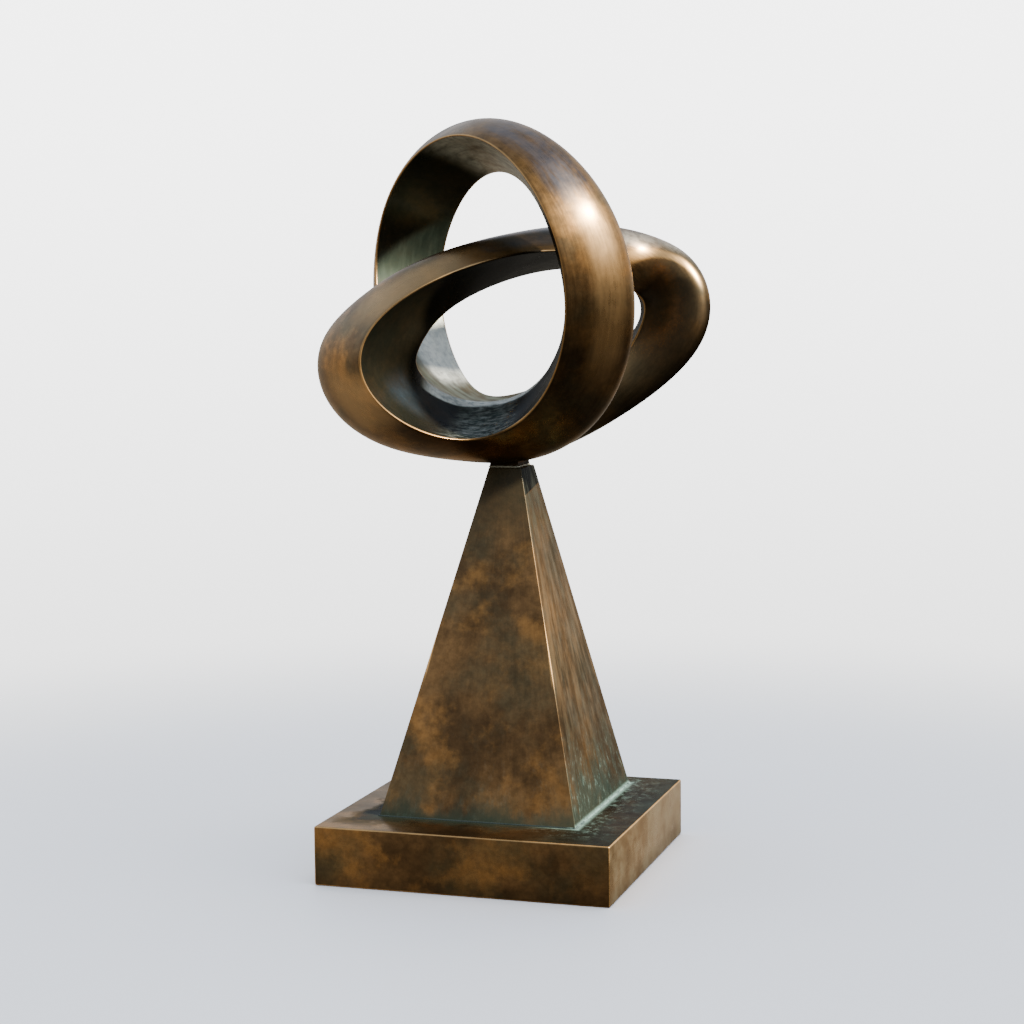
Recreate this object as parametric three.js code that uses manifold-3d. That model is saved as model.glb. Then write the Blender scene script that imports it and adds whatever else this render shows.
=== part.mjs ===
// Abstract bronze sculpture with its plinth. One endless band winds twice round, as a tall upright
// loop and a low leaning loop, and its two strands are cast together at the foot. The foot sits on
// a slim tapered pedestal, and the pedestal stands on a square slab.
// Millimetres, +Z up. The origin is on the ground, under the middle of the whole outline.
import * as THREE from "three";
import { ConvexGeometry } from "three/addons/geometries/ConvexGeometry.js";
import { RoundedBoxGeometry } from "three/addons/geometries/RoundedBoxGeometry.js";
import { mergeVertices } from "three/addons/utils/BufferGeometryUtils.js";
import Module from "manifold-3d";

const wasm = await Module();
wasm.setup();

// ---- driving dimensions ----
const SLAB = { width: 840, depth: 835, height: 165, edgeRadius: 5, edgeSteps: 2 };
const PEDESTAL = { height: 966, footWidth: 570, footDepth: 585, topWidth: 95, topDepth: 126 };
const PEDESTAL_FOOT_AT = { x: -3, y: 36 };
const PEDESTAL_TOP_AT = { x: 25, y: 8 };
const JOINT_GAP = 0.3; // between pieces that rest on each other

// The band. Sixteen stations stand evenly along its two turns. Each one gives the front edge and
// the back edge of the smooth inner face, as x, y and height over the pedestal's top, and how far
// the outer face bulges beyond the line between them. The frame is the band's own, turned on the
// plinth by BAND_TURN, with x to the right and y to the back.
const BAND_TURN = 17.5; // degrees
const STATIONS = [
  { front: [0, -200, 110], back: [-20, 5, 185], bulge: 145 }, // foot, front strand
  { front: [-185, -265, 105], back: [-210, -100, 255], bulge: 180 },
  { front: [-370, -365, 280], back: [-220, -200, 335], bulge: 265 }, // low loop, left end
  { front: [-185, -290, 515], back: [-155, -170, 425], bulge: 150 },
  { front: [210, -75, 595], back: [35, 75, 525], bulge: 110 }, // low loop, crown
  { front: [370, 145, 505], back: [292, 333, 546], bulge: 156 },
  { front: [410, 155, 445], back: [411, 393, 412], bulge: 195 }, // low loop, right end
  { front: [320, 90, 275], back: [207, 297, 252], bulge: 144 },
  { front: [5, -30, 155], back: [-15, 215, 190], bulge: 165 }, // foot, back strand
  { front: [-285, 80, 310], back: [-125, 265, 280], bulge: 155 },
  { front: [-365, 235, 530], back: [-175, 340, 510], bulge: 155 }, // tall loop, left side
  { front: [-325, 200, 760], back: [-125, 275, 725], bulge: 150 },
  { front: [-170, -45, 910], back: [-10, 40, 820], bulge: 110 }, // tall loop, crown
  { front: [30, -330, 830], back: [100, -140, 730], bulge: 145 },
  { front: [165, -410, 515], back: [160, -165, 555], bulge: 190 }, // tall loop, right side
  { front: [115, -285, 220], back: [160, -65, 335], bulge: 190 },
];
const BULGE_POWER = 0.9; // how the outer face rises: 1 is a parabola, 0.5 an ellipse
// The low loop's right end has a shoulder: the outer face leans over its front edge and rises more
// steeply. Each place is a station and a reach on both sides of it.
const SHOULDER_LEAN = { amount: 0.7, station: 6.4, reach: 2.36 };
const SHOULDER_POWER = { power: 0.42, station: 5.1, reach: 1.4 };
const INNER_DISH = 0.05; // hollow of the inner face, as a share of the band's width
const LOW_CROWN = 0.25; // places where the two halves of the band meet, as shares of its length
const TALL_CROWN = 0.75;
const STRAND_STEPS = 76; // along each half of the band
const OUTER_STEPS = 16; // across the outer face
const INNER_STEPS = 4; // across the inner face

// The cast root: a short wedge that fills the hollow under the two strands. It stands on the
// pedestal's top, flush with its front and left edges and short of the other two.
const ROOT = { height: 150, width: 84, depth: 112, topWidth: 60, topDepth: 30 };
const ROOT_AT = { x: 21, y: 3 };

const BAND_BRONZE = { color: 0x5c432c, roughness: 0.38, metalness: 0.9 };
const PEDESTAL_BRONZE = { color: 0x4b3a29, roughness: 0.5, metalness: 0.85 };
const SLAB_BRONZE = { color: 0x57493a, roughness: 0.55, metalness: 0.8 };

// ---- the band's surface ----
// Smooth closed curve through evenly spaced values: one station's share at a place on the band.
function stationShare(place, index) {
  const count = STATIONS.length;
  const away = Math.PI * (place - index / count);
  if (Math.abs(Math.sin(away)) < 1e-9) return 1;
  return Math.sin(count * away) / (count * Math.tan(away));
}

// Front edge, back edge and bulge at a place on the band, 0 to 1 over its two turns.
function bandAt(place) {
  const front = new THREE.Vector3();
  const back = new THREE.Vector3();
  let bulge = 0;
  STATIONS.forEach((station, index) => {
    const share = stationShare(place, index);
    front.addScaledVector(new THREE.Vector3(...station.front), share);
    back.addScaledVector(new THREE.Vector3(...station.back), share);
    bulge += station.bulge * share;
  });
  return { front, back, bulge, middle: front.clone().add(back).divideScalar(2) };
}

// 1 at a station, fading to 0 within reach of it.
function swell(place, { station, reach }) {
  const apart = Math.min(Math.abs(place * STATIONS.length - station) / reach, 1);
  return 0.5 + 0.5 * Math.cos(Math.PI * apart);
}

// One closed section of the band: over the bulged outer face from the front edge to the back edge,
// then over the dished inner face to the front edge again. Its inside point serves the end caps.
function bandSection(place) {
  const nearby = 1e-4;
  const { front, back, bulge, middle } = bandAt(place);
  const along = bandAt(place + nearby).middle.sub(bandAt(place - nearby).middle);
  const across = front.clone().sub(back);
  const outward = across.clone().cross(along).normalize();
  const lean = SHOULDER_LEAN.amount * swell(place, SHOULDER_LEAN);
  const sharper = swell(place, SHOULDER_POWER);
  const power = BULGE_POWER + (SHOULDER_POWER.power - BULGE_POWER) * sharper;
  const upward = outward.clone().addScaledVector(across, lean / across.length());
  const pointAt = (side, rise, direction = upward) =>
    middle.clone().addScaledVector(across, side / 2).addScaledVector(direction, rise);
  const points = [];
  for (let i = 0; i < OUTER_STEPS; i += 1) {
    const angle = (Math.PI * i) / OUTER_STEPS;
    points.push(pointAt(Math.cos(angle), bulge * Math.sin(angle) ** (2 * power)));
  }
  for (let i = 0; i < INNER_STEPS; i += 1) {
    const side = (2 * i) / INNER_STEPS - 1;
    points.push(pointAt(side, across.length() * INNER_DISH * (1 - side * side), outward));
  }
  return { points, inside: pointAt(0, bulge / 2) };
}

// Half of the band as a closed mesh: its sections joined by strips, with a flat cap at each end.
function strandGeometry(start, end) {
  const count = OUTER_STEPS + INNER_STEPS;
  const sections = [];
  for (let step = 0; step <= STRAND_STEPS; step += 1) {
    const place = start + ((end - start) * step) / STRAND_STEPS;
    sections.push(bandSection(place - Math.floor(place)));
  }
  const vertices = sections.flatMap((section) => section.points);
  const startMiddle = vertices.push(sections[0].inside) - 1;
  const endMiddle = vertices.push(sections[STRAND_STEPS].inside) - 1;
  const at = (step, k) => step * count + (k % count);
  const triangles = [];
  for (let k = 0; k < count; k += 1) {
    triangles.push(startMiddle, at(0, k), at(0, k + 1));
    triangles.push(endMiddle, at(STRAND_STEPS, k + 1), at(STRAND_STEPS, k));
    for (let step = 0; step < STRAND_STEPS; step += 1) {
      triangles.push(at(step, k), at(step + 1, k), at(step, k + 1));
      triangles.push(at(step + 1, k), at(step + 1, k + 1), at(step, k + 1));
    }
  }
  const geometry = new THREE.BufferGeometry().setFromPoints(vertices);
  geometry.setIndex(triangles);
  return geometry;
}

// A block with a rectangular foot and top, each in its own place: a truncated pyramid.
function taperedBlock(foot, top) {
  const corners = [foot, top].flatMap(({ width, depth, x, y, z }) =>
    [-1, 1].flatMap((i) =>
      [-1, 1].map((j) => new THREE.Vector3(x + (i * width) / 2, y + (j * depth) / 2, z)),
    ),
  );
  return new ConvexGeometry(corners);
}

// ---- joining ----
function solidOf(geometry) {
  geometry.deleteAttribute("normal");
  geometry.deleteAttribute("uv");
  const merged = mergeVertices(geometry);
  const vertProperties = new Float32Array(merged.attributes.position.array);
  const triVerts = new Uint32Array(merged.index.array);
  return new wasm.Manifold(new wasm.Mesh({ numProp: 3, vertProperties, triVerts }));
}

function geometryOf(solid) {
  const { vertProperties, triVerts } = solid.getMesh();
  const geometry = new THREE.BufferGeometry();
  geometry.setAttribute("position", new THREE.BufferAttribute(vertProperties, 3));
  geometry.setIndex(new THREE.BufferAttribute(triVerts, 1));
  geometry.computeVertexNormals();
  return geometry;
}

// ---- the pieces ----
function slabGeometry() {
  const { width, depth, height, edgeRadius, edgeSteps } = SLAB;
  const slab = new RoundedBoxGeometry(width, depth, height, edgeSteps, edgeRadius);
  return slab.translate(0, 0, height / 2);
}

function pedestalGeometry() {
  const { height, footWidth, footDepth, topWidth, topDepth } = PEDESTAL;
  return taperedBlock(
    { width: footWidth, depth: footDepth, ...PEDESTAL_FOOT_AT, z: JOINT_GAP },
    { width: topWidth, depth: topDepth, ...PEDESTAL_TOP_AT, z: height },
  );
}

function rootGeometry() {
  const { height, width, depth, topWidth, topDepth } = ROOT;
  return taperedBlock(
    { width, depth, ...ROOT_AT, z: JOINT_GAP },
    { width: topWidth, depth: topDepth, ...ROOT_AT, z: height },
  );
}

function bandGeometry() {
  const turn = THREE.MathUtils.degToRad(-BAND_TURN);
  const frontStrand = solidOf(strandGeometry(TALL_CROWN, 1 + LOW_CROWN));
  const backStrand = solidOf(strandGeometry(LOW_CROWN, TALL_CROWN));
  const root = solidOf(rootGeometry().rotateZ(turn));
  return geometryOf(frontStrand.add(backStrand).add(root));
}

function piece(name, geometry, look) {
  const mesh = new THREE.Mesh(geometry, new THREE.MeshStandardMaterial(look));
  mesh.name = name;
  return mesh;
}

// ---- assembly ----
const sculpture = new THREE.Group();

sculpture.add(piece("base_slab", slabGeometry(), SLAB_BRONZE));

const pedestal = piece("tapered_pedestal", pedestalGeometry(), PEDESTAL_BRONZE);
pedestal.position.z = SLAB.height;
sculpture.add(pedestal);

const bandSeat = new THREE.Group();
bandSeat.position.z = SLAB.height + PEDESTAL.height;
bandSeat.rotation.z = THREE.MathUtils.degToRad(BAND_TURN);
bandSeat.add(piece("loop_band", bandGeometry(), BAND_BRONZE));
sculpture.add(bandSeat);

// The band reaches further to some sides than the slab, so the whole moves to its own middle.
const outline = new THREE.Box3().setFromObject(sculpture, true);
const middle = outline.getCenter(new THREE.Vector3());
sculpture.position.set(-middle.x, -middle.y, 0);

export default sculpture;
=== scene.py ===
"""An abstract bronze with its plinth: one endless band wound twice round, its two strands cast
together at the foot, on a slim tapered pedestal and a square slab.

Metres. The fixed frame gives every piece's place. The script makes the finer pieces that stand
for the frame's solids, their patinas with painted shading and highlights, the floor, the light
and the camera.
"""

import math

import bmesh
import bpy
from mathutils import Matrix, Vector, kdtree


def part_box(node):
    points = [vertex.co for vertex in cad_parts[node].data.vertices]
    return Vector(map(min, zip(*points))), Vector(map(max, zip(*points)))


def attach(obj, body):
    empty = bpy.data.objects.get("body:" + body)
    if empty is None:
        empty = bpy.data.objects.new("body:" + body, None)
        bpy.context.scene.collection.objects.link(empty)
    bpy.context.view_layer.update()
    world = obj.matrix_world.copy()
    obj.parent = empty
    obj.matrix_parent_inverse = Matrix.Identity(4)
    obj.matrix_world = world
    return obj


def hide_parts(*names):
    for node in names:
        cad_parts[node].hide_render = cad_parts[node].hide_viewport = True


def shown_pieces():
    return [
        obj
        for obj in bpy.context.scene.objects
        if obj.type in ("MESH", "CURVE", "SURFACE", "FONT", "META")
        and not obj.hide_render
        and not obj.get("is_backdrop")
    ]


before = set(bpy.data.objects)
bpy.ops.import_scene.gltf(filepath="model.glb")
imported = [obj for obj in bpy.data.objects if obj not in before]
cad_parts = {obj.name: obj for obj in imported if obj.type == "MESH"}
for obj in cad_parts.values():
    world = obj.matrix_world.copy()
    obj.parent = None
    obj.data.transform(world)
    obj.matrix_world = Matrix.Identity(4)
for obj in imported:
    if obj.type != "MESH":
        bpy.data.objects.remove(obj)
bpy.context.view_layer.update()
root_body = "root"
MM = 0.001

# ---------------------------------------------------------------- sizes
# Sixteen stations stand evenly along the band's two turns: front edge and back edge of the
# smooth inner face, then the bulge of the outer face, in millimetres over the pedestal's top.
STATIONS = [
    ((0, -200, 110), (-20, 5, 185), 145),  # foot, front strand
    ((-185, -265, 105), (-210, -100, 255), 180),
    ((-370, -365, 280), (-220, -200, 335), 265),  # low loop, left end
    ((-185, -290, 515), (-155, -170, 425), 150),
    ((210, -75, 595), (35, 75, 525), 110),  # low loop, crown
    ((370, 145, 505), (292, 333, 546), 156),
    ((410, 155, 445), (411, 393, 412), 195),  # low loop, right end
    ((320, 90, 275), (207, 297, 252), 144),
    ((5, -30, 155), (-15, 215, 190), 165),  # foot, back strand
    ((-285, 80, 310), (-125, 265, 280), 155),
    ((-365, 235, 530), (-175, 340, 510), 155),  # tall loop, left side
    ((-325, 200, 760), (-125, 275, 725), 150),
    ((-170, -45, 910), (-10, 40, 820), 110),  # tall loop, crown
    ((30, -330, 830), (100, -140, 730), 145),
    ((165, -410, 515), (160, -165, 555), 190),  # tall loop, right side
    ((115, -285, 220), (160, -65, 335), 190),
]
BAND_TURN = math.radians(17.5)
LOW_CROWN = 0.25  # places where the two halves of the band meet, in turns of its whole length
TALL_CROWN = 0.75
RAIL_STEPS = 240  # sections along each half
# The steps go round the section. The dish is a share of the band's width, and the crease's side
# runs from -1 at the back edge to 1 at the front edge.
BAND_SIZES = {
    "Outer Steps": 36,
    "Land Steps": 4,
    "Inner Steps": 20,
    "Land Width": 7 * MM,
    "Inner Dish": 0.05,
    "Crease Side": -0.62,
    "Unevenness": 0.6 * MM,
    "Skin Inset": 2.3 * MM,
    "Seed": 7,
}
BULGE_POWER = 0.9  # how the outer face rises: 1 is a parabola, 0.5 an ellipse
# The low loop's right end has a shoulder: the outer face leans over its front edge and rises
# more steeply. Each place is a station and a reach on both sides of it.
SHOULDER = {"lean": 0.7, "lean at": (6.4, 2.36), "power": 0.42, "power at": (5.1, 1.4)}
BAND_SHARP = math.radians(38)  # the angle from which an edge is left sharp
PLINTH_SHARP = math.radians(30)
PEDESTAL_BEVEL = {"offset": 3 * MM, "segments": 3}
SLAB_BEVEL = {"offset": 5 * MM, "segments": 4}
CAP_RISE = 6 * MM  # of the cone that closes each strand's end
CREASE_DEPTH = 12  # the fold in the front strand's inner face, beside the foot
SEAM_REACH = 0.02 * MM  # within which the skin's first and last columns are merged
NEARBY = 1e-4  # how far ahead and behind the band's direction is taken, as a place

# Level rectangles: width, depth, and the place of the middle round the plinth's, in millimetres.
PEDESTAL_FOOT = (570, 585, -3, 36)
PEDESTAL_TOP = (95, 126, 25, 8)
ROOT_FOOT = (84, 112, 21, 3)
ROOT_TOP = (60, 30, 21, 3)
ROOT_HEIGHT = 150

# The weld bead round the pedestal's foot, what differs in the one under the root, and how high
# that one's path lies over the pedestal's top.
BEAD_SIZES = {
    "Radius": 3.6 * MM,
    "Unevenness": 0.5,
    "Step Length": 4 * MM,
    "Ring Steps": 10,
    "Seed": 3,
}
NECK_BEAD = {"Radius": 2.4 * MM, "Seed": 5}
NECK_BEAD_RISE = 2.2 * MM

# What the band's rails and its skin carry at each point.
RAIL_GUIDES = {
    "front edge": "FLOAT_VECTOR",
    "back edge": "FLOAT_VECTOR",
    "outward": "FLOAT_VECTOR",
    "bulge": "FLOAT",
    "crease": "FLOAT",
    "place": "FLOAT",
    "lean": "FLOAT",
    "double power": "FLOAT",
}
SKIN_GUIDES = {"side": "FLOAT", "inner": "FLOAT", "land": "FLOAT", "grain": "FLOAT_VECTOR"}

slab_low, slab_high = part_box("base_slab")
pedestal_low, pedestal_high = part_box("tapered_pedestal")
band_low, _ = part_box("loop_band")
plinth_middle = (slab_low + slab_high) / 2
seat_height = pedestal_high.z


# ---------------------------------------------------------------- wiring nodes
class Wiring:
    """Adds nodes to one tree and joins them. A value is a number, a vector or a socket."""

    def __init__(self, tree):
        self.tree = tree

    def put(self, socket, value):
        if isinstance(value, bpy.types.NodeSocket):
            self.tree.links.new(value, socket)
        else:
            socket.default_value = value

    def node(self, kind, settings=None, **inputs):
        node = self.tree.nodes.new(kind)
        for name, value in (settings or {}).items():
            setattr(node, name, value)
        for name, value in inputs.items():
            self.put(node.inputs[name.replace("_", " ")], value)
        return node

    def math(self, operation, *values, clamp=False):
        node = self.node("ShaderNodeMath", {"operation": operation, "use_clamp": clamp})
        for socket, value in zip(node.inputs, values):
            self.put(socket, value)
        return node.outputs[0]

    def chain(self, operation, values, clamp=False):
        """One operation over the values, from left to right. Only the last result is clamped."""
        total, *others = values
        for k, value in enumerate(others, 1):
            total = self.math(operation, total, value, clamp=clamp and k == len(others))
        return total

    def times(self, *values, clamp=False):
        return self.chain("MULTIPLY", values, clamp)

    def plus(self, *values, clamp=False):
        return self.chain("ADD", values, clamp)

    def minus(self, first, second, clamp=False):
        return self.math("SUBTRACT", first, second, clamp=clamp)

    def rest(self, value):
        return self.math("SUBTRACT", 1.0, value)

    def over(self, first, second):
        return self.math("DIVIDE", first, second)

    def larger(self, *values):
        return self.chain("MAXIMUM", values)

    def smaller(self, *values):
        return self.chain("MINIMUM", values)

    def size(self, value):
        return self.math("ABSOLUTE", value)

    def vector(self, operation, *values):
        node = self.node("ShaderNodeVectorMath", {"operation": operation})
        for socket, value in zip(node.inputs, values):
            self.put(socket, value)
        return node.outputs["Value" if operation in ("LENGTH", "DOT_PRODUCT") else "Vector"]

    def scaled(self, vector, factor):
        node = self.node("ShaderNodeVectorMath", {"operation": "SCALE"})
        self.put(node.inputs[0], vector)
        self.put(node.inputs["Scale"], factor)
        return node.outputs["Vector"]

    def ramp(self, value, low, high, to_low=0.0, to_high=1.0):
        node = self.node(
            "ShaderNodeMapRange",
            {"interpolation_type": "SMOOTHSTEP"},
            Value=value,
            From_Min=low,
            From_Max=high,
            To_Min=to_low,
            To_Max=to_high,
        )
        return node.outputs["Result"]

    def mix(self, share, first, second, blend="MIX"):
        node = self.node("ShaderNodeMix", {"data_type": "RGBA", "blend_type": blend})
        self.put(node.inputs[0], share)
        self.put(node.inputs[6], first)
        self.put(node.inputs[7], second)
        return node.outputs[2]

    def mottle(self, place, scale, detail, roughness):
        node = self.node(
            "ShaderNodeTexNoise", Vector=place, Scale=scale, Detail=detail, Roughness=roughness
        )
        return node.outputs[0]

    def drawn_mottle(self, place, stretch, detail, roughness):
        """A mottle that is finer in some directions than in others."""
        return self.mottle(self.vector("MULTIPLY", place, stretch), 1.0, detail, roughness)

    def split(self, vector):
        node = self.node("ShaderNodeSeparateXYZ", Vector=vector)
        return node.outputs[0], node.outputs[1], node.outputs[2]

    def joined(self, x, y, z):
        return self.node("ShaderNodeCombineXYZ", X=x, Y=y, Z=z).outputs[0]


def new_geometry_tree(name, sizes):
    """A tree with Geometry, the named sizes and Metal going in, and Geometry coming out."""
    tree = bpy.data.node_groups.new(name, "GeometryNodeTree")
    sockets = {"Geometry": "Geometry"}
    sockets.update({size: "Int" if isinstance(sizes[size], int) else "Float" for size in sizes})
    for label, kind in {**sockets, "Metal": "Material"}.items():
        tree.interface.new_socket(label, in_out="INPUT", socket_type="NodeSocket" + kind)
    tree.interface.new_socket("Geometry", in_out="OUTPUT", socket_type="NodeSocketGeometry")
    w = Wiring(tree)
    return tree, w, w.node("NodeGroupInput").outputs


def finish_tree(w, geometry, metal):
    realized = w.node("GeometryNodeRealizeInstances", Geometry=geometry)
    clad = w.node("GeometryNodeSetMaterial", Geometry=realized.outputs[0], Material=metal)
    w.node("NodeGroupOutput", Geometry=clad.outputs[0])


def evaluated_mesh(piece):
    """What a piece's modifiers make of it, as a plain mesh."""
    bpy.context.view_layer.update()
    evaluated = piece.evaluated_get(bpy.context.evaluated_depsgraph_get())
    return bpy.data.meshes.new_from_object(evaluated)


def grown(source, tree, values, name):
    """The mesh that a tree makes from a source object, as a plain new object."""
    modifier = source.modifiers.new(tree.name, "NODES")
    modifier.node_group = tree
    for item in tree.interface.items_tree:
        if item.in_out == "INPUT" and item.name in values:
            modifier[item.identifier] = values[item.name]
    mesh = evaluated_mesh(source)
    mesh.name = name
    bpy.data.objects.remove(source)
    return link(mesh, name)


def link(mesh, name):
    piece = bpy.data.objects.new(name, mesh)
    bpy.context.scene.collection.objects.link(piece)
    return piece


def new_mesh(sheet, name):
    """A mesh from a sheet, which is freed."""
    mesh = bpy.data.meshes.new(name)
    sheet.to_mesh(mesh)
    sheet.free()
    return mesh


def store_guide(mesh, name, kind, values):
    """Keeps one number or one vector at each point of a mesh."""
    layer = mesh.attributes.new(name, kind, "POINT")
    if kind == "FLOAT_VECTOR":
        layer.data.foreach_set("vector", [x for value in values for x in value])
    else:
        layer.data.foreach_set("value", values)


def read_guide(mesh, name, kind):
    data = mesh.attributes[name].data
    if kind == "FLOAT_VECTOR":
        return [Vector(item.vector) for item in data]
    return [item.value for item in data]


def finish_piece(piece, slot, *nodes):
    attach(piece, root_body)
    if nodes:
        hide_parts(*nodes)


def volume(mesh):
    mesh.calc_loop_triangles()
    points = [v.co for v in mesh.vertices]
    total = 0.0
    for triangle in mesh.loop_triangles:
        a, b, c = (points[i] for i in triangle.vertices)
        total += a.dot(b.cross(c))
    return total / 6


# ---------------------------------------------------------------- the band's rails
def station_share(place, index):
    """One station's share in the smooth closed curve through all of them."""
    count = len(STATIONS)
    away = math.pi * (place - index / count)
    if abs(math.sin(away)) < 1e-9:
        return 1.0
    return math.sin(count * away) / (count * math.tan(away))


def band_at(place):
    front, back, bulge = Vector(), Vector(), 0.0
    for index, (front_point, back_point, height) in enumerate(STATIONS):
        share = station_share(place, index)
        front += Vector(front_point) * share
        back += Vector(back_point) * share
        bulge += height * share
    return front, back, bulge


def smooth(value, low, high):
    share = min(max((value - low) / (high - low), 0.0), 1.0)
    return share * share * (3 - 2 * share)


def swell(place, middle, reach):
    """1 at a station, fading to 0 within reach of it, both counted in stations."""
    apart = min(abs(place * len(STATIONS) - middle) / reach, 1.0)
    return 0.5 + 0.5 * math.cos(math.pi * apart)


def shoulder_at(place):
    """How far the outer face leans over its front edge, and how it rises, at a place."""
    lean = SHOULDER["lean"] * swell(place, *SHOULDER["lean at"])
    sharper = swell(place, *SHOULDER["power at"])
    return lean, BULGE_POWER + (SHOULDER["power"] - BULGE_POWER) * sharper


def crease_at(place):
    """How deep the fold beside the foot is: it fades out both ways along the front strand."""
    place = (place + 0.5) % 1 - 0.5
    return CREASE_DEPTH * smooth(place, -0.1, -0.05) * (1 - smooth(place, 0.0, 0.035))


def onto_seat(point):
    """From the band's own frame, in millimetres, to the row frame."""
    turned = Matrix.Rotation(BAND_TURN, 3, "Z") @ Vector(point)
    return turned * MM + Vector((plinth_middle.x, plinth_middle.y, seat_height))


def rail_section(place):
    """The middle of the band's section at a place, and the guides that the rails carry there."""
    front, back, bulge = band_at(place)
    ahead, behind = band_at(place + NEARBY), band_at(place - NEARBY)
    along = ahead[0] + ahead[1] - behind[0] - behind[1]
    lean, power = shoulder_at(place)
    return {
        "middle": onto_seat((front + back) / 2),
        "front edge": onto_seat(front),
        "back edge": onto_seat(back),
        "outward": Matrix.Rotation(BAND_TURN, 3, "Z") @ (front - back).cross(along).normalized(),
        "bulge": bulge * MM,
        "crease": crease_at(place) * MM,
        "place": place,
        "lean": lean,
        "double power": 2 * power,
    }


def rails(start, end):
    """The line along one half of the band, with its guides."""
    steps = range(RAIL_STEPS + 1)
    sections = [rail_section((start + (end - start) * k / RAIL_STEPS) % 1.0) for k in steps]
    mesh = bpy.data.meshes.new("rails")
    edges = [(k, k + 1) for k in range(RAIL_STEPS)]
    mesh.from_pydata([section["middle"] for section in sections], edges, [])
    for name, kind in RAIL_GUIDES.items():
        store_guide(mesh, name, kind, [section[name] for section in sections])
    return link(mesh, "rails")


# ---------------------------------------------------------------- the band's skin
def band_tree():
    """Lays the band's section on its rails. Round the section: the bulged outer face, the
    rounded land at the back edge, the dished inner face, and the land at the front edge."""
    tree, w, given = new_geometry_tree("band skin", BAND_SIZES)
    outer, lands, inner = given["Outer Steps"], given["Land Steps"], given["Inner Steps"]
    land, dish, crease_side = given["Land Width"], given["Inner Dish"], given["Crease Side"]
    around = w.plus(outer, inner, w.times(lands, 2))
    columns = w.plus(around, 1)
    count = w.node("GeometryNodeAttributeDomainSize", Geometry=given["Geometry"])
    grid = w.node(
        "GeometryNodeMeshGrid",
        Size_X=1.0,
        Size_Y=1.0,
        Vertices_X=count.outputs["Point Count"],
        Vertices_Y=columns,
    )
    index = w.node("GeometryNodeInputIndex").outputs[0]
    row = w.math("FLOOR", w.over(w.plus(index, 0.5), columns))
    column = w.math("MODULO", w.minus(index, w.times(row, columns)), around)

    def rail(name):
        kind = RAIL_GUIDES[name]
        named = w.node("GeometryNodeInputNamedAttribute", {"data_type": kind}, Name=name)
        sample = w.node("GeometryNodeSampleIndex", {"data_type": kind, "domain": "POINT"})
        w.put(sample.inputs["Geometry"], given["Geometry"])
        w.put(sample.inputs["Value"], named.outputs["Attribute"])
        w.put(sample.inputs["Index"], row)
        return sample.outputs["Value"]

    front, back, outward = rail("front edge"), rail("back edge"), rail("outward")
    bulge, crease, place = rail("bulge"), rail("crease"), rail("place")
    double_power, lean = rail("double power"), rail("lean")
    across = w.vector("SUBTRACT", front, back)
    middle = w.scaled(w.vector("ADD", front, back), 0.5)
    width = w.vector("LENGTH", across)
    half = w.times(width, 0.5)

    def inner_rise(side):
        dished = w.times(w.rest(w.times(side, side)), dish, width)
        back_slope = w.over(w.plus(side, 1.0), w.plus(crease_side, 1.0))
        front_slope = w.over(w.rest(side), w.rest(crease_side))
        ridge = w.times(w.smaller(back_slope, front_slope), crease)
        return w.minus(dished, ridge)

    # outer face: from just past the front edge to just before the back edge
    first_rise = w.math("POWER", w.over(land, bulge), w.over(1.0, double_power))
    first_angle = w.math("ARCSINE", first_rise)
    sweep = w.minus(math.pi, w.times(first_angle, 2))
    angle = w.plus(first_angle, w.times(sweep, w.over(column, outer)))
    uneven = w.node(
        "ShaderNodeTexNoise",
        {"noise_dimensions": "4D"},
        Vector=middle,
        W=given["Seed"],
        Scale=7.0,
        Detail=2.0,
    ).outputs[0]
    outer_side = w.math("COSINE", angle)
    outer_rise = w.math("POWER", w.math("SINE", angle), double_power)
    dip = w.plus(w.times(uneven, given["Unevenness"]), given["Skin Inset"])
    dip = w.times(dip, outer_rise)
    outer_rise = w.minus(w.times(outer_rise, bulge), dip)

    # inner face
    trim = w.over(land, half)
    inner_start = w.plus(outer, lands)
    inner_share = w.over(w.minus(column, inner_start), inner)
    span = w.minus(2.0, w.times(trim, 2))
    inner_side = w.plus(w.minus(trim, 1.0), w.times(span, inner_share))

    # lands: a curve from the outer face's end, round the edge, to the inner face's end
    front_start = w.plus(inner_start, inner)
    on_front = w.math("GREATER_THAN", column, w.minus(front_start, 0.5))
    back_share = w.over(w.minus(column, outer), lands)
    front_share = w.rest(w.over(w.minus(column, front_start), lands))
    share = w.plus(w.times(on_front, front_share), w.times(w.rest(on_front), back_share))
    rest = w.rest(share)
    sign = w.minus(w.times(on_front, 2), 1.0)
    near = w.times(rest, rest, w.math("COSINE", first_angle))
    turning = w.times(rest, share, 2)
    far = w.times(share, share, w.rest(trim))
    land_side = w.times(w.plus(near, turning, far), sign)
    end_rise = inner_rise(w.times(sign, w.rest(trim)))
    land_rise = w.plus(w.times(rest, rest, land), w.times(share, share, end_rise))

    def choose(test, yes, no):
        node = w.node("GeometryNodeSwitch", {"input_type": "FLOAT"}, Switch=test)
        w.put(node.inputs["False"], no)
        w.put(node.inputs["True"], yes)
        return node.outputs[0]

    on_outer = w.math("LESS_THAN", column, w.plus(outer, 0.25))
    past_back = w.math("GREATER_THAN", column, w.minus(inner_start, 0.5))
    on_inner = w.times(past_back, w.math("LESS_THAN", column, w.plus(front_start, 0.25)))
    side = choose(on_outer, outer_side, choose(on_inner, inner_side, land_side))
    rise = choose(on_outer, outer_rise, choose(on_inner, inner_rise(inner_side), land_rise))
    on_land = choose(on_outer, 0.0, choose(on_inner, 0.0, 1.0))

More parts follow.
